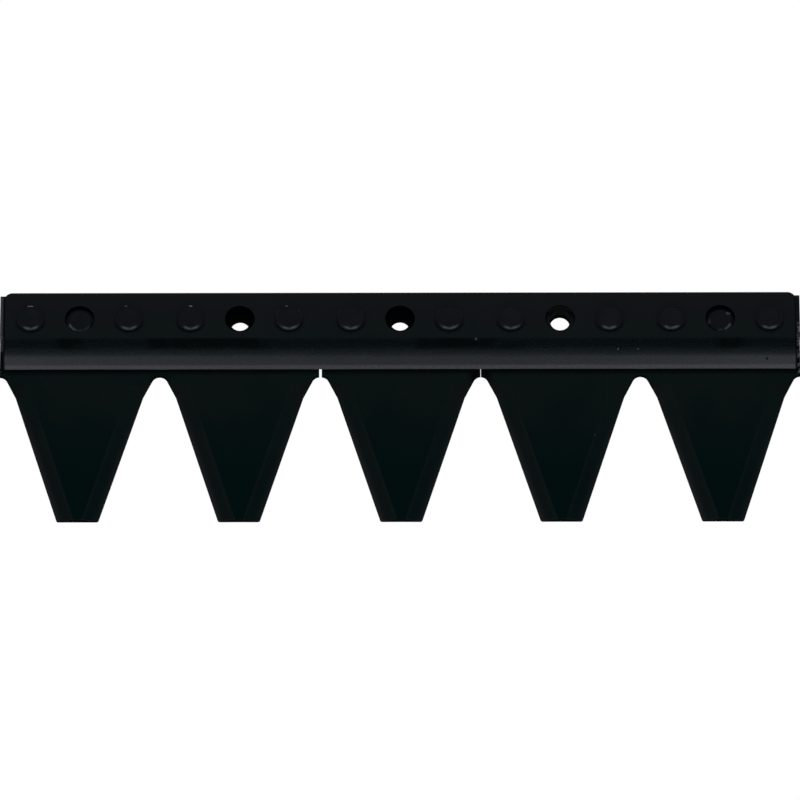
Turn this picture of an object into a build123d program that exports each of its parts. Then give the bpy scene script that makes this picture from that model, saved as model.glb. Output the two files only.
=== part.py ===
from build123d import *
import os
from math import cos, radians, sin, tan

os.makedirs("parts", exist_ok=True)

# The knife lies flat: X runs along it, the teeth point towards -Y and Z is up.
# The origin is on the underside, on the axis of the middle bolt hole.

# Teeth and blades
tooth_pitch = 76.2
outer_tooth = 2
blade_thickness = 3.175
blade_setback = 0.4
tip_reach = 102.4
tip_radius = 1.2
flank_angle = 17.15
seam_width = 0.72
centre_blade_shift = 0.48

# Gap between two teeth
gullet_reach = 25.05
gullet_radius = 3.9
throat_angle = 26.0
throat_depth = 11.1

# Ground bevel on both flanks of a tooth
bevel_width = 7.7
edge_thickness = 0.5
bevel_rise = 4.1
throat_rise = 3.8
cutter_margin = 2.0

# Back bar
bar_thickness = 6.35
bar_width = 22.2
bar_edge_radius = 0.4
back_reach = 14.2

# Folded top plate
plate_thickness = 3.175
plate_end_inset = 2.0
plate_corner_radius = 4.0
land_reach = 10.15
bend_radius = 14.0
bend_angle = 40.0
lip_seat_gap = 0.05
lip_edge_radius = 0.6

# Bolt holes
bolt_hole_radius = 4.6
clearance_hole_radius = 6.75
slot_tooth = 1
slot_run = 2.4

# Section rivets
rivet_offset = 23.4
rivet_radius = 3.2
rivet_hole_radius = 3.25
rivet_head_radius = 6.7
rivet_head_height = 2.6
rivet_rim_height = 0.5
rivet_rim_chamfer = 0.3
rivet_tail_radius = 5.0

# Plug rivets in the outer bolt holes
plug_radius = 4.55
plug_head_radius = 5.7
plug_head_height = 1.0
plug_head_round = 0.3
plug_tail_radius = 5.5

# Heights of the layers and lines shared by several pieces
bar_top = blade_thickness + bar_thickness
land_top = bar_top + plate_thickness
knife_length = (2 * outer_tooth + 1) * tooth_pitch
teeth = range(-outer_tooth, outer_tooth + 1)
blade_back = back_reach - blade_setback
tail_gap = rivet_hole_radius - rivet_radius
plug_gap = bolt_hole_radius - plug_radius
shoulder_radius = rivet_head_height - rivet_rim_height
half_pitch = tooth_pitch / 2
half_seam = seam_width / 2
underside = -Plane.XY

# The throat of a gap: from the round at its root to the corner where the flank starts
throat_turn = gullet_radius * (1 - sin(radians(throat_angle)))
corner_half_gap = (
    gullet_radius * cos(radians(throat_angle))
    + (throat_depth - throat_turn) * tan(radians(throat_angle))
)
corner_reach = gullet_reach + throat_depth
mouth_reach = tip_reach + cutter_margin
mouth_half_gap = corner_half_gap + (mouth_reach - corner_reach) * tan(radians(flank_angle))
flank_x = half_pitch - corner_half_gap

# Gap profile
with BuildSketch() as gap:
    with BuildLine():
        root = CenterArc(
            (0, -gullet_reach - gullet_radius),
            gullet_radius,
            throat_angle,
            180 - 2 * throat_angle,
        )
        Polyline(
            root @ 1,
            (-corner_half_gap, -corner_reach),
            (-mouth_half_gap, -mouth_reach),
            (mouth_half_gap, -mouth_reach),
            (corner_half_gap, -corner_reach),
            root @ 0,
        )
    make_face()

# Grinding cut of one tooth: a wedge along each flank that runs out beside the throat
flank_up = Vector(sin(radians(flank_angle)), cos(radians(flank_angle)), 0)
inward = Vector(-cos(radians(flank_angle)), sin(radians(flank_angle)), 0)
flank_length = (tip_reach - corner_reach) / cos(radians(flank_angle))
flank_corner = Vector(flank_x, -corner_reach, edge_thickness)
bevel_end = flank_corner + inward * bevel_width + flank_up * bevel_rise
bevel_end.Z = blade_thickness
throat_end = flank_corner + Vector(tan(radians(throat_angle)), 1, 0) * throat_rise
throat_end.Z = blade_thickness
run_out = Plane(
    flank_corner,
    x_dir=bevel_end - flank_corner,
    z_dir=(bevel_end - flank_corner).cross(throat_end - flank_corner),
)
bevel_slope = (blade_thickness - edge_thickness) / bevel_width
wedge_start = Vector(flank_x, -corner_reach, 0) - flank_up * (flank_length + cutter_margin)

with BuildPart() as grinding:
    with BuildSketch(Plane(wedge_start, x_dir=inward, z_dir=flank_up)):
        with BuildLine():
            Polyline(
                (-cutter_margin, edge_thickness - cutter_margin * bevel_slope),
                (-cutter_margin, blade_thickness + cutter_margin),
                (bevel_width + cutter_margin / bevel_slope, blade_thickness + cutter_margin),
                close=True,
            )
        make_face()
    extrude(amount=flank_length + 2 * cutter_margin + bevel_width)
    split(bisect_by=run_out, keep=Keep.BOTTOM)
    mirror(about=Plane.YZ)


def rivet_places(tooth_list):
    """Places of the two rivets of each tooth, on the bolt line."""
    return [(t * tooth_pitch + side * rivet_offset, 0, 0) for t in tooth_list for side in (-1, 1)]


def bolt_places(tooth_list):
    """Places of the round bolt holes, at the middle of each tooth."""
    return [(t * tooth_pitch, 0) for t in tooth_list if t != slot_tooth]


def slot_places(tooth_list):
    """Place of the bolt hole that is punched long towards the back."""
    return [(t * tooth_pitch, slot_run / 2) for t in tooth_list if t == slot_tooth]


# Blades: two teeth on the left, one in the centre, two on the right
blades = {
    "left_section": (range(-outer_tooth, 0), -knife_length / 2, -half_pitch - half_seam),
    "centre_section": (range(0, 1), half_seam - half_pitch, half_pitch - half_seam),
    "right_section": (range(1, outer_tooth + 1), half_pitch + half_seam, knife_length / 2),
}

for name, (own_teeth, left, right) in blades.items():
    shift = centre_blade_shift if name == "centre_section" else 0
    gaps = [(t * tooth_pitch - half_pitch + shift, 0) for t in own_teeth]
    gaps.append((own_teeth[-1] * tooth_pitch + half_pitch + shift, 0))
    with BuildPart() as blade:
        with BuildSketch() as outline:
            with Locations(((left + right) / 2 + shift, (blade_back - tip_reach) / 2)):
                Rectangle(right - left, blade_back + tip_reach)
            with Locations(*gaps):
                add(gap.sketch, mode=Mode.SUBTRACT)
            fillet(outline.vertices().group_by(Axis.Y)[0], tip_radius)
        extrude(amount=blade_thickness)
        with Locations(*[(t * tooth_pitch + shift, 0, 0) for t in own_teeth]):
            add(grinding.part, mode=Mode.SUBTRACT)
        with Locations(underside):
            with Locations(*rivet_places(own_teeth)):
                CounterSinkHole(
                    rivet_hole_radius, rivet_tail_radius + tail_gap, counter_sink_angle=90
                )
        with BuildSketch():
            with Locations(*bolt_places(own_teeth)):
                Circle(bolt_hole_radius)
            for place in slot_places(own_teeth):
                with Locations(place):
                    SlotCenterToCenter(slot_run, 2 * bolt_hole_radius, rotation=90)
        extrude(amount=blade_thickness, mode=Mode.SUBTRACT)
        plugged = [(t * tooth_pitch, 0) for t in own_teeth if abs(t) == outer_tooth]
        if plugged:
            with Locations(underside):
                with Locations(*plugged):
                    CounterSinkHole(
                        bolt_hole_radius, plug_tail_radius + plug_gap, counter_sink_angle=90
                    )
    blade.part.label = name
    export_step(blade.part, f"parts/{name}.step")

# Back bar: flat steel under the whole length of the top plate
with BuildPart() as back_bar:
    with BuildSketch(Plane.XY.offset(blade_thickness)):
        with Locations((0, back_reach - bar_width / 2)):
            Rectangle(knife_length, bar_width)
    extrude(amount=bar_thickness)
    fillet(back_bar.edges().filter_by(Axis.X), bar_edge_radius)
    with BuildSketch(Plane.XY.offset(blade_thickness)):
        with Locations(*rivet_places(teeth)):
            Circle(rivet_hole_radius)
        with Locations(*bolt_places(teeth)):
            Circle(bolt_hole_radius)
        with Locations(*slot_places(teeth)):
            SlotCenterToCenter(slot_run, 2 * bolt_hole_radius, rotation=90)
    extrude(amount=bar_thickness, mode=Mode.SUBTRACT)
back_bar.part.label = "back_bar"
export_step(back_bar.part, "parts/back_bar.step")

# Top plate: a flat land whose front edge is folded down to the blades
inner_radius = bend_radius - plate_thickness
lip_drop = bar_top - inner_radius * (1 - cos(radians(bend_angle))) - blade_thickness
lip_length = (lip_drop - lip_seat_gap) / sin(radians(bend_angle))
bend_centre = (-land_reach, land_top - bend_radius)

with BuildPart() as top_plate:
    with BuildSketch(Plane.YZ):
        with BuildLine():
            outer_bend = CenterArc(bend_centre, bend_radius, 90, bend_angle)
            inner_bend = CenterArc(bend_centre, inner_radius, 90, bend_angle)
            outer_lip = PolarLine(outer_bend @ 1, lip_length, 180 + bend_angle)
            inner_lip = PolarLine(inner_bend @ 1, lip_length, 180 + bend_angle)
            Line(outer_lip @ 1, inner_lip @ 1)
            Polyline(outer_bend @ 0, (back_reach, land_top), (back_reach, bar_top), inner_bend @ 0)
        make_face()
    extrude(amount=knife_length / 2 - plate_end_inset, both=True)
    fillet(top_plate.edges().filter_by(Axis.X).sort_by(Axis.Y)[0], lip_edge_radius)
    fillet(top_plate.edges().filter_by(Axis.Z).group_by(Axis.Y)[-1], plate_corner_radius)
    with BuildSketch(Plane.XY.offset(bar_top)):
        with Locations(*rivet_places(teeth)):
            Circle(rivet_hole_radius)
        with Locations(*[(t * tooth_pitch, 0) for t in teeth]):
            Circle(clearance_hole_radius)
    extrude(amount=plate_thickness, mode=Mode.SUBTRACT)
top_plate.part.label = "top_plate"
export_step(top_plate.part, "parts/top_plate.step")

# Section rivets: low flat-topped heads above, countersunk tails flush below
for number, place in enumerate(rivet_places(teeth), start=1):
    with BuildPart() as rivet:
        with BuildSketch(Plane.XZ.move(Location(place))):
            with BuildLine():
                shoulder = CenterArc(
                    (rivet_head_radius - shoulder_radius, land_top + rivet_rim_height),
                    shoulder_radius,
                    0,
                    90,
                )
                Polyline(
                    shoulder @ 1,
                    (0, land_top + rivet_head_height),
                    (0, 0),
                    (rivet_tail_radius, 0),
                    (rivet_radius, rivet_tail_radius - rivet_radius),
                    (rivet_radius, land_top),
                    (rivet_head_radius - rivet_rim_chamfer, land_top),
                    (rivet_head_radius, land_top + rivet_rim_chamfer),
                    shoulder @ 0,
                )
            make_face()
        revolve(axis=Axis(place, (0, 0, 1)))
    name = f"rivet_{number:02d}"
    rivet.part.label = name
    export_step(rivet.part, f"parts/{name}.step")

# Plug rivets: flat heads on the bar, sunk in the clearance holes of the top plate
for name, tooth in (("left_plug", -outer_tooth), ("right_plug", outer_tooth)):
    place = (tooth * tooth_pitch, 0, 0)
    with BuildPart() as plug:
        with BuildSketch(Plane.XZ.move(Location(place))):
            with BuildLine():
                Polyline(
                    (0, 0),
                    (plug_tail_radius, 0),
                    (plug_radius, plug_tail_radius - plug_radius),
                    (plug_radius, bar_top),
                    (plug_head_radius, bar_top),
                    (plug_head_radius, bar_top + plug_head_height - plug_head_round),
                    (plug_head_radius - plug_head_round, bar_top + plug_head_height),
                    (0, bar_top + plug_head_height),
                    close=True,
                )
            make_face()
        revolve(axis=Axis(place, (0, 0, 1)))
    plug.part.label = name
    export_step(plug.part, f"parts/{name}.step")
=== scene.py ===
import bmesh
import bpy
import math
import random
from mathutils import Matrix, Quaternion, Vector


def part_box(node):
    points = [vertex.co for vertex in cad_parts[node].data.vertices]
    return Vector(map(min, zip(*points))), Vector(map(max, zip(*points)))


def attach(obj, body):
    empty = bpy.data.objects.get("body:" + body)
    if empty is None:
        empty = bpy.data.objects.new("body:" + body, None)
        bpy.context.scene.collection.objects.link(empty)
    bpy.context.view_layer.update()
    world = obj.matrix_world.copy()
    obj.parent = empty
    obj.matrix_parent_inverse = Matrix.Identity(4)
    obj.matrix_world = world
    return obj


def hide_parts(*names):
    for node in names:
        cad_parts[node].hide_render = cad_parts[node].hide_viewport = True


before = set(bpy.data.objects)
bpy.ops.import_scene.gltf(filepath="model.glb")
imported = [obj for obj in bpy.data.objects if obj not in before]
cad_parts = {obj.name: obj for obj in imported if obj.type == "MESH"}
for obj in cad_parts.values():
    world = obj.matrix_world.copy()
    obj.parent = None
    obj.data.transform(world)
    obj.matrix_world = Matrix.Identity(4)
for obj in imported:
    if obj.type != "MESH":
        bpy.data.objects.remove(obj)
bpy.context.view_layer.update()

mm = 0.001

# Sizes read from the frame
bar_low, bar_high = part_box("back_bar")
plate_low, plate_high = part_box("top_plate")
section_boxes = {name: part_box(name) for name in ("left_section", "centre_section", "right_section")}
rivet_names = ["rivet_%02d" % number for number in range(1, 11)]
plug_names = ["left_plug", "right_plug"]
knife_length = bar_high.x - bar_low.x
blade_thickness = bar_low.z
bar_top = bar_high.z
land_top = plate_high.z
back_reach = bar_high.y
tip_reach = -section_boxes["centre_section"][0].y
blade_back = section_boxes["centre_section"][1].y
tooth_count = 5
tooth_pitch = knife_length / tooth_count
half_pitch = tooth_pitch / 2

# Sizes of the blades that a box does not tell
gullet_reach = 25.05 * mm
gullet_radius = 3.9 * mm
throat_angle = math.radians(26)
throat_depth = 11.1 * mm
flank_angle = math.radians(17.15)
tip_radius = 1.2 * mm
bevel_width = 7.7 * mm
edge_thickness = 0.5 * mm
bevel_rise = 4.1 * mm
throat_rise = 3.8 * mm
blade_edge_round = 0.12 * mm

# Sizes of the bar and the folded plate
bar_edge_round = 0.4 * mm
plate_edge_round = 0.3 * mm
plate_corner_radius = 4 * mm
land_reach = 10.15 * mm
bend_radius = 14 * mm
bend_angle = math.radians(40)
bend_strips = 24

# Holes
bolt_hole_radius = 4.6 * mm
clearance_hole_radius = 6.75 * mm
slot_run = 2.4 * mm
rivet_hole_radius = 3.25 * mm
rivet_offset = 23.4 * mm
tail_radius = 5.0 * mm
plug_tail_radius = 5.5 * mm
slot_tooth = 1


def arc(centre, radius, start, sweep, steps):
    """Points along an arc, angles in radians."""
    return [
        (
            centre[0] + radius * math.cos(start + sweep * i / steps),
            centre[1] + radius * math.sin(start + sweep * i / steps),
        )
        for i in range(steps + 1)
    ]


def round_hole(x, y, radius, steps=48):
    """A closed ring of points, clockwise as a hole is drawn."""
    return arc((x, y), radius, 0, -2 * math.pi, steps)[:-1]


def long_hole(x, y, radius, run, steps=24):
    """A hole with round ends, drawn long towards the back."""
    front = arc((x, y), radius, 0, -math.pi, steps)
    back = arc((x, y + run), radius, math.pi, -math.pi, steps)
    return front + back


def curve_mesh(name, rings, low, high, edge_round):
    """A flat piece between two heights, cut from an outline and its holes, with rounded edges."""
    curve = bpy.data.curves.new(name, "CURVE")
    curve.dimensions = "2D"
    curve.fill_mode = "BOTH"
    for ring in rings:
        spline = curve.splines.new("POLY")
        spline.points.add(len(ring) - 1)
        for point, (x, y) in zip(spline.points, ring):
            point.co = (x, y, 0, 1)
        spline.use_cyclic_u = True
    curve.extrude = (high - low) / 2 - edge_round
    curve.bevel_depth = edge_round
    curve.bevel_resolution = 2
    curve.offset = -edge_round
    blank = bpy.data.objects.new(name, curve)
    bpy.context.scene.collection.objects.link(blank)
    mesh = bpy.data.meshes.new_from_object(blank)
    bpy.data.objects.remove(blank)
    for vertex in mesh.vertices:
        vertex.co.z += (low + high) / 2
    return mesh


def place(name, mesh, material, slot, *nodes, crease=40):
    """Puts a finished mesh in the scene in place of CAD nodes; a fold over the crease angle is crisp."""
    piece = bpy.data.objects.new(name, mesh)
    bpy.context.scene.collection.objects.link(piece)
    mesh.materials.clear()
    mesh.materials.append(material)
    mesh.shade_smooth()
    mesh.set_sharp_from_angle(angle=math.radians(crease))
    normals = piece.modifiers.new("even_normals", "WEIGHTED_NORMAL")
    normals.keep_sharp = True
    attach(piece, "root")
    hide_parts(*nodes)
    return piece


def tidy_mesh(work, mesh):
    """Joins doubled vertices and writes the working mesh back."""
    bmesh.ops.remove_doubles(work, verts=work.verts, dist=0.002 * mm)
    bmesh.ops.recalc_face_normals(work, faces=work.faces)
    work.to_mesh(mesh)
    work.free()
    mesh.update()


# Blade outline
throat_turn = gullet_radius * (1 - math.sin(throat_angle))
corner_half_gap = gullet_radius * math.cos(throat_angle) + (throat_depth - throat_turn) * math.tan(throat_angle)
corner_reach = gullet_reach + throat_depth
flank_x = half_pitch - corner_half_gap
tip_half_width = flank_x - (tip_reach - corner_reach) * math.tan(flank_angle)


def gap_side(x, left_limit=None, right_limit=None, steps=20):
    """Points round a gap from its left corner to its right one, going clockwise, trimmed at a seam."""
    centre = (x, -gullet_reach - gullet_radius)
    crown = arc(centre, gullet_radius, math.pi - throat_angle, 2 * throat_angle - math.pi, steps)
    points = [(x - corner_half_gap, -corner_reach)] + crown + [(x + corner_half_gap, -corner_reach)]
    if left_limit is not None:
        points = [p for p in points if p[0] > left_limit]
        reach = centre[1] + math.sqrt(max(gullet_radius**2 - (left_limit - x) ** 2, 0))
        points = [(left_limit, reach)] + points
    if right_limit is not None:
        points = [p for p in points if p[0] < right_limit]
        reach = centre[1] + math.sqrt(max(gullet_radius**2 - (right_limit - x) ** 2, 0))
        points = points + [(right_limit, reach)]
    return points


def tip(x, steps=10):
    """Points round the blunt end of a tooth, from its left flank to its right one."""
    slope = flank_angle
    turn = math.pi / 2 - slope
    inset = tip_radius * math.tan(turn / 2)
    left = (x - tip_half_width + inset, -tip_reach + tip_radius)
    right = (x + tip_half_width - inset, -tip_reach + tip_radius)
    left_arc = arc(left, tip_radius, math.pi + slope, turn, steps)
    right_arc = arc(right, tip_radius, -math.pi / 2, turn, steps)
    return left_arc + right_arc


def blade_outline(teeth, left, right, shift):
    """Counterclockwise outline of a blade: its back edge, its ends, gaps and tips."""
    points = [(right, blade_back), (left, blade_back)]
    for tooth in teeth:
        x = tooth * tooth_pitch + shift
        first = tooth == teeth[0]
        points += gap_side(x - half_pitch, left_limit=left if first else None) if first else []
        points += tip(x)
        last = tooth == teeth[-1]
        points += gap_side(x + half_pitch, right_limit=right if last else None)
    return points


def blade_height(x, y, teeth, shift):
    """Height of the blade's upper face: flat, lowered by the ground bevels along the flanks."""
    height = blade_thickness
    for tooth in teeth:
        for side in (-1, 1):
            across = side * (x - shift - tooth * tooth_pitch)
            if across < 0:
                continue
            ahead = y + corner_reach
            beside = (flank_x - across) * math.cos(flank_angle) + ahead * math.sin(flank_angle)
            slope = (blade_thickness - edge_thickness) / bevel_width
            bevel = edge_thickness + beside * slope
            end = bevel_end()
            run_out = plane_height(across, y, end)
            if abs(across) < half_pitch + 1 * mm:
                height = min(height, max(bevel, run_out))
    return height


def bevel_end():
    """Three points of the run-out face: flank corner, end of the bevel line and throat end."""
    corner = Vector((flank_x, -corner_reach, edge_thickness))
    inward = Vector((-math.cos(flank_angle), math.sin(flank_angle), 0))
    upward = Vector((math.sin(flank_angle), math.cos(flank_angle), 0))
    end = corner + inward * bevel_width + upward * bevel_rise
    end.z = blade_thickness
    throat = corner + Vector((math.tan(throat_angle), 1, 0)) * throat_rise
    throat.z = blade_thickness
    return corner, end, throat


def plane_height(x, y, points):
    """Height at x, y of the plane through three points."""
    corner, end, throat = points
    normal = (end - corner).cross(throat - corner)
    return corner.z - (normal.x * (x - corner.x) + normal.y * (y - corner.y)) / normal.z


def cut_line(work, start, end):
    """Cuts the mesh along an upright plane through two points."""
    run = Vector((end[0] - start[0], end[1] - start[1], 0))
    bmesh.ops.bisect_plane(
        work,
        geom=work.verts[:] + work.edges[:] + work.faces[:],
        plane_co=(start[0], start[1], 0),
        plane_no=(-run.y, run.x, 0),
        dist=0.0001 * mm,
    )


def blade_mesh(name, teeth, left, right, shift):
    """A blade with its holes, ground along the flanks of its teeth."""
    rings = [blade_outline(teeth, left, right, shift)]
    for tooth in teeth:
        x = tooth * tooth_pitch
        for side in (-1, 1):
            rings.append(round_hole(x + side * rivet_offset, 0, tail_radius))
        if tooth == slot_tooth:
            rings.append(long_hole(x, 0, bolt_hole_radius, slot_run))
        elif abs(tooth) == tooth_count // 2:
            rings.append(round_hole(x, 0, plug_tail_radius))
        else:
            rings.append(round_hole(x, 0, bolt_hole_radius))
    mesh = curve_mesh(name, rings, 0, blade_thickness, blade_edge_round)
    work = bmesh.new()
    work.from_mesh(mesh)
    corner, end, throat = bevel_end()
    inner = corner + (end - corner) - Vector((math.sin(flank_angle), math.cos(flank_angle), 0)) * tip_reach
    for tooth in teeth:
        for side in (-1, 1):
            middle = tooth * tooth_pitch + shift
            for start, stop in ((end, inner), (corner, end), (end, throat)):
                cut_line(work, (middle + side * start.x, start.y), (middle + side * stop.x, stop.y))
    for vertex in work.verts:
        share = blade_height(vertex.co.x, vertex.co.y, teeth, shift) / blade_thickness
        vertex.co.z *= share
    tidy_mesh(work, mesh)
    return mesh


def plate_mesh():
    """The top plate: a flat blank with its holes, folded down along its front edge."""
    left, right, back = plate_low.x, plate_high.x, plate_high.y
    inner_radius = bend_radius - (land_top - bar_top)
    drop = land_top - plate_low.z
    lip = (drop - bend_radius + inner_radius * math.cos(bend_angle)) / math.sin(bend_angle)
    front = -land_reach - bend_radius * bend_angle - lip
    r = plate_corner_radius
    outline = (
        [(left, front), (right, front)]
        + arc((right - r, back - r), r, 0, math.pi / 2, 12)
        + arc((left + r, back - r), r, math.pi / 2, math.pi / 2, 12)
    )
    rings = [outline]
    for tooth in range(-2, 3):
        x = tooth * tooth_pitch
        rings.append(round_hole(x, 0, clearance_hole_radius, 72))
        for side in (-1, 1):
            rings.append(round_hole(x + side * rivet_offset, 0, rivet_hole_radius))
    mesh = curve_mesh("top_plate_folded", rings, bar_top, land_top, plate_edge_round)
    work = bmesh.new()
    work.from_mesh(mesh)
    for strip in range(bend_strips + 1):
        y = -land_reach - bend_radius * bend_angle * strip / bend_strips
        cut_line(work, (0, y), (1, y))
    centre_z = land_top - bend_radius
    for vertex in work.verts:
        run = -land_reach - vertex.co.y
        if run <= 0:
            continue
        radius = vertex.co.z - centre_z
        turn = min(run / bend_radius, bend_angle)
        beyond = max(run - bend_radius * bend_angle, 0)
        vertex.co.y = -land_reach - radius * math.sin(turn) - beyond * math.cos(turn)
        vertex.co.z = centre_z + radius * math.cos(turn) - beyond * math.sin(turn)
    tidy_mesh(work, mesh)
    return mesh


def bar_mesh():
    """The back bar with its holes."""
    rings = [[(bar_low.x, bar_low.y), (bar_high.x, bar_low.y), (bar_high.x, bar_high.y), (bar_low.x, bar_high.y)]]
    for tooth in range(-2, 3):
        x = tooth * tooth_pitch
        for side in (-1, 1):
            rings.append(round_hole(x + side * rivet_offset, 0, rivet_hole_radius))
        if tooth == slot_tooth:
            rings.append(long_hole(x, 0, bolt_hole_radius, slot_run))
        else:
            rings.append(round_hole(x, 0, bolt_hole_radius))
    mesh = curve_mesh("back_bar_rounded", rings, bar_low.z, bar_high.z, bar_edge_round)
    work = bmesh.new()
    work.from_mesh(mesh)
    tidy_mesh(work, mesh)
    return mesh


def turned_mesh(name, profile, x, y, segments=72):
    """A piece turned about an upright axis from a list of radius and height."""
    mesh = bpy.data.meshes.new(name)
    work = bmesh.new()
    rings = []
    for radius, height in profile:
        if radius == 0:
            rings.append([work.verts.new((x, y, height))])
            continue
        rings.append(
            [
                work.verts.new(
                    (
                        x + radius * math.cos(2 * math.pi * i / segments),
                        y + radius * math.sin(2 * math.pi * i / segments),
                        height,
                    )
                )
                for i in range(segments)
            ]
        )
    for lower, upper in zip(rings, rings[1:]):
        for i in range(segments):
            j = (i + 1) % segments
            if len(lower) == 1:
                work.faces.new((lower[0], upper[j], upper[i]))
            elif len(upper) == 1:
                work.faces.new((lower[i], lower[j], upper[0]))
            else:
                work.faces.new((lower[i], lower[j], upper[j], upper[i]))
    tidy_mesh(work, mesh)
    return mesh


def rivet_mesh(name, node):
    """A section rivet: a low flat-topped head above and a flush tail below."""
    low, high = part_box(node)
    x, y = (low.x + high.x) / 2, (low.y + high.y) / 2
    head = (high.x - low.x) / 2
    rim = 0.5 * mm
    round_off = high.z - land_top - rim
    shank = 3.2 * mm
    shoulder = arc((head - round_off, land_top + rim), round_off, 0, math.pi / 2, 10)
    profile = [
        (0, low.z),
        (tail_radius - 0.1 * mm, low.z),
        (shank, tail_radius - shank),
        (shank, land_top),
        (head - 0.3 * mm, land_top),
        (head, land_top + 0.3 * mm),
    ]
    profile += shoulder + [(0, high.z)]
    return turned_mesh(name, profile, x, y)


def plug_mesh(name, node):
    """A plug rivet: a flat head sunk in the hole of the top plate."""
    low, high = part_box(node)
    x, y = (low.x + high.x) / 2, (low.y + high.y) / 2
    head = (high.x - low.x) / 2
    shank = 4.55 * mm
    edge = 0.3 * mm
    profile = [
        (0, low.z),
        (plug_tail_radius - 0.1 * mm, low.z),
        (shank, plug_tail_radius - shank),
        (shank, bar_top),
        (head, bar_top),
    ]
    profile += arc((head - edge, high.z - edge), edge, 0, math.pi / 2, 5) + [(0, high.z)]
    return turned_mesh(name, profile, x, y)


class Amount:
    """A number, colour or direction that varies over a surface, so that sums read as Python."""

    def __init__(self, nodes, socket):
        self.nodes = nodes
        self.socket = socket

    def part(self, name):
        """Another output of the same node."""
        return Amount(self.nodes, self.socket.node.outputs[name])

    def __add__(self, other):
        return self.nodes.maths("ADD", self, other)

    def __radd__(self, other):
        return self.nodes.maths("ADD", other, self)

    def __sub__(self, other):
        return self.nodes.maths("SUBTRACT", self, other)

    def __rsub__(self, other):
        return self.nodes.maths("SUBTRACT", other, self)

    def __mul__(self, other):
        return self.nodes.maths("MULTIPLY", self, other)

    def __rmul__(self, other):
        return self.nodes.maths("MULTIPLY", other, self)

    def __abs__(self):
        return self.nodes.maths("ABSOLUTE", self)


def set_stops(ramp, stops):
    """Gives a colour ramp its stops, as pairs of position and colour."""
    ends = (stops[0], stops[-1])
    for element, (position, colour) in zip(ramp.elements, ends):
        element.position = position
        element.color = colour
    for position, colour in stops[1:-1]:
        ramp.elements.new(position).color = colour


class Nodes:
    """Adds nodes to the node tree of a material or of the surroundings."""

    def __init__(self, tree):
        self.tree = tree

    def node(self, kind, settings=None, sockets=None, output=0):
        """Adds a node: its settings first, then the values or links of its sockets."""
        node = self.tree.nodes.new(kind)
        for name, value in (settings or {}).items():
            if name == "stops":
                set_stops(node.color_ramp, value)
            else:
                setattr(node, name, value)
        for name, value in (sockets or {}).items():
            self.feed(node.inputs[name], value)
        return Amount(self, node.outputs[output])

    def feed(self, socket, value):
        """Sets a socket, or links it where the value varies over the surface."""
        if isinstance(value, Amount):
            self.tree.links.new(value.socket, socket)
        else:
            socket.default_value = value

    def maths(self, operation, *values):
        return self.node("ShaderNodeMath", {"operation": operation}, dict(enumerate(values)))

    def largest(self, *values):
        """The largest of several amounts."""
        total = values[0]
        for value in values[1:]:
            total = self.maths("MAXIMUM", total, value)
        return total

    def step(self, value, start, end, low=0.0, high=1.0):
        """Goes softly from low to high while the value goes from start to end."""
        settings = {"interpolation_type": "SMOOTHSTEP"}
        return self.node("ShaderNodeMapRange", settings, {0: value, 1: start, 2: end, 3: low, 4: high})

    def blend(self, share, first, second):
        """Mixes two colours."""
        return self.node("ShaderNodeMix", {"data_type": "RGBA"}, {0: share, 6: first, 7: second}, 2)


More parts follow.
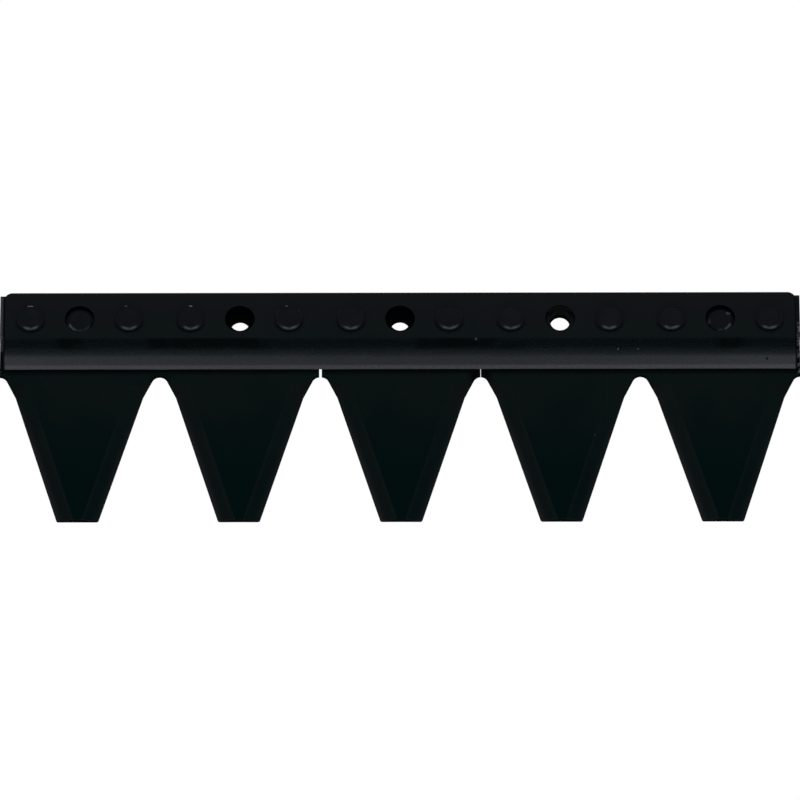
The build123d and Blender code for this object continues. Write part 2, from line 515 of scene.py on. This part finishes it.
class Finish(Nodes):
    """A material and the nodes that make it."""

    def __init__(self, name):
        self.material = bpy.data.materials.new(name)
        self.material.use_nodes = True
        super().__init__(self.material.node_tree)
        self.shader = self.tree.nodes["Principled BSDF"]
        self.surface = self.tree.nodes["Material Output"].inputs["Surface"]
        self.spot = self.node("ShaderNodeTexCoord", output="Object")
        self.x = self.node("ShaderNodeSeparateXYZ", sockets={0: self.spot}, output="X")
        self.y, self.z = self.x.part("Y"), self.x.part("Z")
        facing = self.node("ShaderNodeNewGeometry", output="Normal")
        self.facing_x = self.node("ShaderNodeSeparateXYZ", sockets={0: facing}, output="X")
        self.facing_y, self.facing_z = self.facing_x.part("Y"), self.facing_x.part("Z")

    def cloud(self, size, detail=3.0, stretch=(1, 1, 1), shift=0.0, rough=0.5):
        """Soft patches about as wide as size, from 0 to 1."""
        scale = tuple(1 / (size * s) for s in stretch)
        sockets = {"Vector": self.spot, "Location": (shift, shift, shift), "Scale": scale}
        spread = self.node("ShaderNodeMapping", sockets=sockets)
        sockets = {"Vector": spread, "Scale": 1.0, "Detail": detail, "Roughness": rough}
        return self.node("ShaderNodeTexNoise", sockets=sockets)

    def edges(self, width):
        """Where outer edges of the piece are, fading over a width."""
        settings = {"inside": True, "only_local": True, "samples": 8}
        shut = self.node("ShaderNodeAmbientOcclusion", settings, {"Distance": width}, "AO")
        return self.step(shut, 0.9, 0.6)

    def near(self, x, y, run=0.0):
        """Distance from an upright axis, or from one drawn out towards the back by a run."""
        across = self.x - x
        along = self.y - y
        if run:
            along = along - self.node("ShaderNodeClamp", sockets={"Value": along, "Min": 0.0, "Max": run})
        return self.maths("SQRT", across * across + along * along)

    def between(self, value, low, high, soft):
        """1 between two limits, falling to 0 over a soft margin inside them."""
        return self.step(value, low, low + soft) * self.step(value, high, high - soft)

    def specks(self, places):
        """Small spots, listed by x, y and radius."""
        spots = [self.step(self.near(x, y), radius, radius * 0.5) for x, y, radius in places]
        return self.largest(*spots)

    def hole_walls(self, rings):
        """Dark walls of holes and what lies inside the given radius, listed by x, radius, run towards the back and
        depth of the dark.
        """
        walls = []
        for x, radius, run, depth in rings:
            away = self.near(x, 0, run)
            walls.append(self.step(away, radius + 0.45 * mm, radius + 0.25 * mm, 0.0, depth))
        return self.largest(*walls)

    def paint(self, colour, roughness, bump, bump_depth, matt=None, matt_colour=None, gloss=0.5):
        """Joins the amounts to the shader; matt is where dull scale takes the place of the paint."""
        self.feed(self.shader.inputs["Base Color"], colour)
        self.feed(self.shader.inputs["Roughness"], roughness)
        self.shader.inputs["Specular IOR Level"].default_value = gloss
        sockets = {"Strength": 1.0, "Distance": bump_depth, "Height": bump}
        self.feed(self.shader.inputs["Normal"], self.node("ShaderNodeBump", sockets=sockets, output="Normal"))
        if matt is not None:
            scale = self.node("ShaderNodeBsdfDiffuse", sockets={"Color": matt_colour, "Roughness": 0.6})
            self.cover(matt, scale)
        return self.material

    def cover(self, share, second):
        """Lays a second shader over the paint by a share."""
        paint = Amount(self, self.shader.outputs[0])
        both = self.node("ShaderNodeMixShader", sockets={0: share, 1: paint, 2: second})
        self.feed(self.surface, both)


# Paints, what shows where they are worn, and colours laid on as painted shade and highlights
plate_black_back = (0.0044, 0.0051, 0.0064, 1)
plate_black_front = (0.0019, 0.0050, 0.0052, 1)
plate_black_thin = (0.0044, 0.0066, 0.0076, 1)
blade_black = (0.0000, 0.0045, 0.0046, 1)
blade_black_by_fold = (0.0038, 0.0068, 0.0063, 1)
bevel_black = (0.0048, 0.0062, 0.0063, 1)
# honed steel of the bevel edges, also laid on the left-facing bevels as painted light
honed_steel_and_painted_highlight = (0.0110, 0.0122, 0.0138, 1)
rivet_black = (0.0033, 0.0050, 0.0058, 1)
rivet_black_thin = (0.0048, 0.0066, 0.0076, 1)
plug_black = (0.0024, 0.0046, 0.0054, 1)
plug_black_thin = (0.0040, 0.0060, 0.0070, 1)
# worn steel, also the painted highlight and sheen on the lip's lower edge
worn_steel_and_painted_highlight = (0.060, 0.062, 0.068, 1)
# painted highlight on the back rims of some rivet heads
rim_painted_highlight_grey = (0.16, 0.16, 0.17, 1)
end_steel = (0.075, 0.080, 0.088, 1)
# near black of a pit on the lip, also painted shadow under the lip, darker gaps by the lip, and painted shade on
# the run-out faces and rivet seats
pit_and_painted_shade_black = (0.0002, 0.0009, 0.0011, 1)
# painted shade along the bend of the plate
bend_painted_shade = (0.0004, 0.0024, 0.0026, 1)
# dark matt of hole walls, also painted shade on the bar down the open holes, in the bend blotches and round the
# rivet fronts
hole_scale_and_painted_shade = (0.0004, 0.0008, 0.0009, 1)
sheared_scale = (0.0020, 0.0042, 0.0042, 1)
shoulder_scale = (0.0068, 0.0084, 0.0094, 1)

# Dark walls of the holes: x, radius, run, depth of the dark
full_dark, worn_dark = 0.995, 0.965
plate_hole_rings = [
    (tooth * tooth_pitch, clearance_hole_radius, 0.0, worn_dark if tooth == slot_tooth else full_dark)
    for tooth in range(-2, 3)
]
bar_hole_rings = [
    # The two open holes at the clearance radius: dark walls, and painted shade on the bar's top seen down the
    # plate's holes.
    (-tooth_pitch, clearance_hole_radius, 0.0, full_dark),
    (0.0, clearance_hole_radius, 0.0, full_dark),
    (slot_tooth * tooth_pitch, bolt_hole_radius, slot_run, worn_dark),
]
blade_hole_rings = [
    (tooth * tooth_pitch, bolt_hole_radius, slot_run if tooth == slot_tooth else 0.0, full_dark)
    for tooth in range(-2, 3)
]

# Where the paint is rubbed off at the two ends of the knife
end_strip = 1.7 * mm
left_rub_reach = -12 * mm
right_rub_start = 1 * mm
right_rub_reach = -24 * mm

# Marks on the plate: x, y and radius of the light specks, and x from and to of the dark blotches
plate_specks = [
    (36.1 * mm, -11.0 * mm, 0.8 * mm),
    (103.6 * mm, -15.9 * mm, 0.5 * mm),
    (113.1 * mm, -15.9 * mm, 0.4 * mm),
]
lip_pit = [(174.4 * mm, -19.8 * mm, 0.7 * mm)]
bend_blotches = [
    (-166 * mm, -148 * mm),
    (-123 * mm, -60 * mm),
    (5 * mm, 61 * mm),
    (148 * mm, 166 * mm),
]
bend_reach = 7 * mm

# Marks on the blades: a light chip, and the gaps between teeth that are darker by the lip, by x and share
blade_specks = [(92.2 * mm, -57.6 * mm, 0.5 * mm)]
darkened_gaps = [(half_pitch, 0.85), (-3 * half_pitch, 0.5)]

lip_edge_height = plate_low.z + (land_top - bar_top) * math.cos(bend_angle)


def rubbed_ends(f):
    """Light rubbed steel at the unpainted ends: even on the left, blotched on the right."""
    start = knife_length / 2 - end_strip
    strip = f.step(abs(f.x), start, start + 0.6 * mm)
    left = f.step(f.x, 0.0, -1 * mm) * f.step(f.y, left_rub_reach - 1 * mm, left_rub_reach)
    blotch = f.step(f.cloud(2.2 * mm, 3.0, shift=0.4), 0.47, 0.53)
    right = f.step(f.x, 0.0, 1 * mm) * f.between(f.y, right_rub_reach - 1 * mm, right_rub_start, 1 * mm)
    return strip * (left * 0.5 + right * blotch)


def seat_shade(f):
    """Painted shade on the plate round the front of each rivet head."""
    centres = [tooth * tooth_pitch + side * rivet_offset for tooth in range(-2, 3) for side in (-1, 1)]
    nearest = f.near(centres[0], 0)
    for x in centres[1:]:
        nearest = f.maths("MINIMUM", nearest, f.near(x, 0))
    return f.step(nearest, 8.4 * mm, 7.0 * mm) * f.step(f.y, -0.5 * mm, -4 * mm)


def plate_paint():
    """Satin black paint of the folded plate: streaks along the fold, painted shade along the bend that is deeper
    at dark blotches, a painted highlight on the lip's lower edge, and painted shade round the rivets' fronts.
    """
    f = Finish("plate_satin_black")
    mottle = f.cloud(26 * mm, 4.0)
    fine = f.cloud(2.2 * mm, 3.0, shift=0.7)
    streaks = f.cloud(30 * mm, 5.0, stretch=(1, 0.035, 0.035), shift=0.3, rough=0.65)
    across = f.step(f.y, back_reach, -land_reach)
    colour = f.blend(across, plate_black_back, plate_black_front)
    colour = f.blend(f.step(mottle * 0.7 + fine * 0.3, 0.40, 0.68) * 0.35, colour, plate_black_thin)
    bend_start = f.step(f.y, -land_reach + 0.4 * mm, -land_reach - 0.8 * mm)
    bend_end = f.step(f.y, -land_reach - bend_reach, -land_reach - bend_reach * 0.6)
    blotches = [f.between(f.x, low, high, 6 * mm) for low, high in bend_blotches]
    blotch = f.largest(*blotches) * f.step(f.cloud(14 * mm, 4.0, shift=0.12), 0.36, 0.52)
    in_bend = bend_start * bend_end
    # Painted shade along the bend, deeper at the dark blotches.
    colour = f.blend(in_bend * (0.65 + blotch * 0.30), colour, bend_painted_shade)
    wear = f.edges(0.9 * mm) * f.step(f.cloud(3.5 * mm, 4.0, shift=0.9), 0.42, 0.62)
    back_edge = f.step(f.y, back_reach - 0.9 * mm, back_reach - 0.3 * mm)
    # Painted highlight along the lip's lower edge and a faint painted sheen low on the lip, in the worn steel
    # colour.
    lip_edge_painted_highlight = f.between(f.z, lip_edge_height - 0.2 * mm, lip_edge_height + 1.7 * mm, 0.6 * mm) * 0.40
    lip_glow = f.step(f.z, lip_edge_height + 4.5 * mm, lip_edge_height) * 0.08
    colour = f.blend(f.largest(wear * 0.2, back_edge * 0.2, lip_edge_painted_highlight, lip_glow), colour, worn_steel_and_painted_highlight)
    colour = f.blend(f.specks(plate_specks) * 0.7, colour, worn_steel_and_painted_highlight)
    colour = f.blend(f.specks(lip_pit) * 0.8, colour, pit_and_painted_shade_black)
    roughness = 0.20 + streaks * 0.10 + fine * 0.04
    bump = fine * 0.5 + f.cloud(0.8 * mm, 2.0) * 0.35 + streaks * 0.3
    ends = f.step(abs(f.x), plate_high.x - 0.8 * mm, plate_high.x - 0.4 * mm) * 0.9
    # Dark matt: painted shade in the bend blotches and round the front of the rivets, and the lip pit.
    dull = f.largest(in_bend * blotch * 0.4, seat_shade(f) * 0.45, f.specks(lip_pit) * 0.8)
    matt = f.largest(f.hole_walls(plate_hole_rings), ends, dull)
    return f.paint(colour, roughness, bump, 0.012 * mm, matt=matt, matt_colour=hole_scale_and_painted_shade)


def bar_paint():
    """Black paint of the back bar, rubbed to light steel at its two unpainted ends."""
    f = Finish("bar_satin_black")
    fine = f.cloud(2.0 * mm, 4.0)
    colour = f.blend(f.step(f.cloud(20 * mm), 0.35, 0.65), plug_black, plug_black_thin)
    rubbed = rubbed_ends(f)
    colour = f.blend(rubbed, colour, end_steel)
    wear = f.edges(0.8 * mm) * f.step(fine, 0.45, 0.6)
    colour = f.blend(f.largest(wear * 0.25, plug_scrapes(f) * 0.6), colour, worn_steel_and_painted_highlight)
    bump = fine * 0.6 + f.cloud(0.7 * mm, 2.0) * 0.3 - rubbed * 0.5
    walls = f.hole_walls(bar_hole_rings)
    return f.paint(colour, 0.32 + fine * 0.1, bump, 0.014 * mm, matt=walls, matt_colour=hole_scale_and_painted_shade)


def blade_paint():
    """Thin black paint of the ground blades, lighter towards the fold and along the honed edges, with painted
    light on the left-facing bevels, painted shadow under the lip and painted shade on the run-out faces.
    """
    f = Finish("blade_satin_black")
    mottle = f.cloud(34 * mm, 4.0, stretch=(0.7, 1, 1))
    fine = f.cloud(1.6 * mm, 4.0, shift=0.5)
    grind = f.cloud(14 * mm, 4.0, stretch=(1, 0.05, 1), shift=0.2, rough=0.7)
    by_fold = f.step(f.y, -85 * mm, -20 * mm)
    uneven = f.step(mottle * 0.75 + fine * 0.25, 0.36, 0.62)
    colour = f.blend(by_fold * (0.7 + uneven * 0.5), blade_black, blade_black_by_fold)
    on_bevel = f.step(abs(f.facing_x), 0.20, 0.27) * f.step(f.z, 0.2 * mm, 0.45 * mm)
    # Painted light: bevels facing left are made lighter than those facing right.
    left_flank_painted_light = f.step(f.facing_x, 0.1, -0.1)
    honed = f.step(f.z, edge_thickness + 1.2 * mm, edge_thickness)
    inner_line = f.between(f.z, blade_thickness - 0.5 * mm, blade_thickness, 0.2 * mm)
    bared = on_bevel * f.step(f.y, -38 * mm, -64 * mm, 0.25, 1.0)
    colour = f.blend(bared * (0.30 + left_flank_painted_light * 0.35), colour, bevel_black)
    colour = f.blend(bared * inner_line * 0.15, colour, honed_steel_and_painted_highlight)
    colour = f.blend(bared * honed * (0.40 + left_flank_painted_light * 0.5), colour, honed_steel_and_painted_highlight)
    wear = f.edges(0.7 * mm) * f.step(fine, 0.35, 0.6)
    colour = f.blend(f.largest(wear * bared * 0.15, f.specks(blade_specks) * 0.3), colour, worn_steel_and_painted_highlight)
    # Painted shade: the run-out faces, picked out by which way they face, darkened nearly to black.
    run_out = f.step(f.facing_y, -0.36, -0.46) * f.step(f.facing_z, 0.7, 0.8)
    colour = f.blend(run_out * 0.85, colour, pit_and_painted_shade_black)
    # Painted shadow on the blades just in front of the lip, and darker patches at two gaps near the lip.
    lip_edge = plate_low.y
    lip_painted_shadow = f.step(f.y, lip_edge - 2.4 * mm, lip_edge - 0.3 * mm) * 0.55
    at_gaps = [f.step(abs(f.x - x), 7 * mm, 3 * mm) * share for x, share in darkened_gaps]
    by_gap = f.largest(*at_gaps) * f.step(f.y, lip_edge - 9 * mm, lip_edge - 3 * mm)
    colour = f.blend(f.largest(lip_painted_shadow, by_gap), colour, pit_and_painted_shade_black)
    colour = f.blend(rubbed_ends(f), colour, end_steel)
    roughness = 0.30 + fine * 0.06 + grind * 0.08
    bump = fine * 0.5 + grind * on_bevel * 0.8 + f.cloud(0.7 * mm, 2.0) * 0.3
    upright = f.step(abs(f.facing_z), 0.5, 0.25)
    walls = f.largest(f.hole_walls(blade_hole_rings), upright)
    return f.paint(colour, roughness, bump, 0.012 * mm, matt=walls, matt_colour=sheared_scale, gloss=0.12)


# Painted highlights on the back rim of some rivet heads: x from the axis, width
rim_painted_highlights = {
    "rivet_01": [(-0.7 * mm, 1.3 * mm), (0.6 * mm, 1.2 * mm)],
    "rivet_02": [(-1.4 * mm, 0.9 * mm)],
    "rivet_03": [(0.0 * mm, 1.3 * mm)],
    "rivet_04": [(-1.2 * mm, 1.0 * mm)],
}
rim_highlight_reach = 6.2 * mm


# Where the front of each rivet head is glossy: x from the axis, half width
rivet_glints = {
    "rivet_01": (0.3 * mm, 3.0 * mm),
    "rivet_02": (0.2 * mm, 3.1 * mm),
    "rivet_03": (0.4 * mm, 3.2 * mm),
    "rivet_04": (0.9 * mm, 3.4 * mm),
    "rivet_05": (0.1 * mm, 2.6 * mm),
    "rivet_06": (0.6 * mm, 3.4 * mm),
    "rivet_07": (0.6 * mm, 3.2 * mm),
    "rivet_08": (0.0 * mm, 2.8 * mm),
    "rivet_09": (0.3 * mm, 3.1 * mm),
    "rivet_10": (0.1 * mm, 2.9 * mm),
}

# Rivets with gloss left on the sides of the head: how much
side_gloss = {"rivet_04": 0.40, "rivet_05": 0.25, "rivet_06": 0.30, "rivet_07": 0.15}


def rivet_paint(node, centre, thin):
    """Black paint of one section rivet, thin on the rim, with painted shade in the seat line and painted
    highlights on some back rims.
    """
    f = Finish(node + "_black")
    fine = f.cloud(1.8 * mm, 4.0, shift=centre)
    away = f.near(centre, 0)
    colour = f.blend(f.step(f.cloud(12 * mm, shift=centre), 0.35, 0.65), rivet_black, rivet_black_thin)
    rim = f.between(away, 4.6 * mm, 6.3 * mm, 0.6 * mm)
    colour = f.blend(rim * f.step(fine, 0.45, 0.65) * thin, colour, worn_steel_and_painted_highlight)
    # Painted shade where the head meets the plate.
    seat_painted_shade = f.step(f.z, land_top + 0.6 * mm, land_top + 0.2 * mm)
    colour = f.blend(seat_painted_shade * 0.8, colour, pit_and_painted_shade_black)
    glint, glint_width = rivet_glints[node]
    aside = abs(f.x - centre - glint)
    front = f.step(aside, glint_width + 1.2 * mm, glint_width - 0.6 * mm) * f.step(f.y, -2.0 * mm, -3.5 * mm)
    sides = f.step(f.y, 4.5 * mm, 2.5 * mm, 0.0, side_gloss.get(node, 0.0))
    dull = f.step(away, 4.2 * mm, 4.8 * mm) * (1 - front) * (1.0 - fine * 0.1 - sides)
    # Painted highlights on the back rim, where the matt is also left off.
    specks = [(centre + across, rim_highlight_reach, width) for across, width in rim_painted_highlights.get(node, [])]
    if specks:
        rim_highlight = f.specks(specks)
        colour = f.blend(rim_highlight, colour, rim_painted_highlight_grey)
        dull = dull * (1 - rim_highlight)
    bump = fine * 0.6 + f.cloud(0.7 * mm, 2.0) * 0.3
    return f.paint(colour, 0.22 + fine * 0.07, bump, 0.014 * mm, matt=dull, matt_colour=shoulder_scale, gloss=0.45)


# Scrapes on the plugs and the bar beside them: x, y and radius
left_plug_x, right_plug_x = -2 * tooth_pitch, 2 * tooth_pitch
plug_scrape_spots = [
    (left_plug_x - 4.4 * mm, -3.0 * mm, 2.0 * mm),
    (left_plug_x - 3.2 * mm, -5.0 * mm, 2.0 * mm),
    (right_plug_x + 3.3 * mm, -4.4 * mm, 1.7 * mm),
    (right_plug_x + 4.4 * mm, -2.6 * mm, 1.4 * mm),
    (right_plug_x + 3.9 * mm, 4.0 * mm, 1.3 * mm),
]
plug_faint_spots = [
    (left_plug_x + 3.6 * mm, -4.0 * mm, 2.4 * mm),
    (left_plug_x, -5.6 * mm, 2.2 * mm),
    (right_plug_x, -5.6 * mm, 1.9 * mm),
    (right_plug_x - 5.0 * mm, -0.6 * mm, 1.5 * mm),
]


def plug_scrapes(f):
    """Scrapes where the plug rivets were set, on their rims only."""
    away = f.maths("MINIMUM", f.near(left_plug_x, 0), f.near(right_plug_x, 0))
    rim = f.between(away, 4.2 * mm, 6.9 * mm, 0.7 * mm)
    marks = f.largest(f.specks(plug_scrape_spots), f.specks(plug_faint_spots) * 0.3)
    return rim * marks


def plug_paint():
    """Black paint of the plug rivets, with light scrapes round the rim."""
    f = Finish("plug_satin_black")
    fine = f.cloud(1.5 * mm, 4.0)
    colour = f.blend(f.step(f.cloud(10 * mm), 0.35, 0.65), plug_black, plug_black_thin)
    colour = f.blend(plug_scrapes(f) * (0.5 + fine * 0.5), colour, worn_steel_and_painted_highlight)
    bump = fine * 0.6 + f.cloud(0.7 * mm, 2.0) * 0.3
    return f.paint(colour, 0.28 + fine * 0.08, bump, 0.014 * mm, gloss=0.45)


place("top_plate_folded", plate_mesh(), plate_paint(), "plate_paint", "top_plate")
place("back_bar_rounded", bar_mesh(), bar_paint(), "bar_paint", "back_bar")
seam_shift = section_boxes["centre_section"][0].x + section_boxes["centre_section"][1].x
blade_teeth = {"left_section": (-2, -1), "centre_section": (0,), "right_section": (1, 2)}
blade_finish = blade_paint()
for name, (low, high) in section_boxes.items():
    shift = seam_shift / 2 if name == "centre_section" else 0
    mesh = blade_mesh(name + "_ground", blade_teeth[name], low.x, high.x, shift)
    place(name + "_ground", mesh, blade_finish, "blade_paint", name, crease=12)
wear_of_rivets = random.Random(7)
for node in rivet_names:
    low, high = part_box(node)
    finish = rivet_paint(node, (low.x + high.x) / 2, wear_of_rivets.uniform(0.0, 0.06))
    place(node + "_head", rivet_mesh(node + "_head", node), finish, "rivet_paint", node)
plug_finish = plug_paint()
for node in plug_names:
    place(node + "_head", plug_mesh(node + "_head", node), plug_finish, "plug_paint", node)

# Camera
image_side = 800
pixels_per_metre = 2104.5
camera_distance = 4.6
camera_elevation = math.radians(62)
camera_roll = math.radians(-0.09)
sensor_width = 36
aim = Vector((-0.05 * mm, -37.13 * mm, 0))

camera_data = bpy.data.cameras.new("camera")
camera_data.sensor_width = sensor_width
camera_data.lens = sensor_width * pixels_per_metre * camera_distance / image_side
camera_data.clip_end = 50
camera = bpy.data.objects.new("camera", camera_data)
bpy.context.scene.collection.objects.link(camera)
away = Vector((0, -math.cos(camera_elevation), math.sin(camera_elevation)))
camera.location = aim + away * camera_distance
camera.rotation_mode = "QUATERNION"
camera.rotation_quaternion = away.to_track_quat("Z", "Y") @ Quaternion((0, 0, 1), camera_roll)
bpy.context.scene.camera = camera


def floor_finish():
    """White studio floor: plain paint that lights the object, seen white with a faint shadow."""
    f = Finish("floor_white")
    f.shader.inputs["Base Color"].default_value = (0.82, 0.82, 0.82, 1)
    f.shader.inputs["Roughness"].default_value = 0.9
    f.shader.inputs["Specular IOR Level"].default_value = 0.0
    rays = f.node("ShaderNodeLightPath", output="Is Camera Ray")
    seen = f.largest(rays, rays.part("Is Glossy Ray"), rays.part("Is Transmission Ray"))
    glow = f.node("ShaderNodeEmission", sockets={"Color": (1, 1, 1, 1), "Strength": 1.02})
    f.cover(seen * 0.96, glow)
    return f.material


# Floor
mesh = bpy.data.meshes.new("floor")
side = 8
mesh.from_pydata([(-side, -side, 0), (side, -side, 0), (side, side, 0), (-side, side, 0)], [], [(0, 1, 2, 3)])
floor = bpy.data.objects.new("floor", mesh)
floor.location.z = -0.1 * mm
bpy.context.scene.collection.objects.link(floor)
mesh.materials.append(floor_finish())

# Surroundings: white low in front, dim at the sides and behind, dark overhead, as in a small studio
front_greys = [(0.0, 1.0), (0.30, 0.85), (0.50, 0.25), (0.63, 0.13), (0.75, 0.12), (0.93, 0.012)]
back_greys = [(0.0, 0.06), (0.60, 0.075), (0.86, 0.085), (0.90, 0.08), (0.96, 0.012)]


def sky_stops(greys):
    """Stops of a slightly cool grey, from the horizon to overhead."""
    return [(height, (grey, grey, grey * 1.04, 1)) for height, grey in greys]


world = bpy.data.worlds.new("studio")
bpy.context.scene.world = world
world.use_nodes = True
sky = Nodes(world.node_tree)
towards = sky.node("ShaderNodeTexCoord", output="Generated")
upward = sky.node("ShaderNodeSeparateXYZ", sockets={0: towards}, output="Z")
front = sky.node("ShaderNodeValToRGB", {"stops": sky_stops(front_greys)}, {0: upward})
back = sky.node("ShaderNodeValToRGB", {"stops": sky_stops(back_greys)}, {0: upward})
forward = sky.step(upward.part("Y"), -0.25, -0.65)
sky.feed(world.node_tree.nodes["Background"].inputs["Color"], sky.blend(forward, back, front))


def soft_light(name, spot, watts, width, height, colour=(1, 1, 1)):
    """A soft rectangular light aimed at the middle of the knife."""
    data = bpy.data.lights.new(name, "AREA")
    data.shape = "RECTANGLE"
    data.energy = watts
    data.size = width
    data.size_y = height
    data.color = colour
    light = bpy.data.objects.new(name, data)
    bpy.context.scene.collection.objects.link(light)
    light.location = spot
    light.rotation_mode = "QUATERNION"
    light.rotation_quaternion = (Vector(spot) - aim).to_track_quat("Z", "Y")
    return light


cool_white = (1.0, 1.0, 1.18)
soft_light("front_left_light", (-1.02, -1.85, 1.3), 6.0, 1.35, 1.1, cool_white)
soft_light("front_right_light", (1.02, -1.85, 1.3), 6.6, 1.35, 1.1, cool_white)
fill = soft_light("overhead_fill", (0, -0.6, 2.6), 49, 2.0, 2.0)
fill.visible_glossy = False

bpy.context.scene.view_settings.view_transform = "Standard"
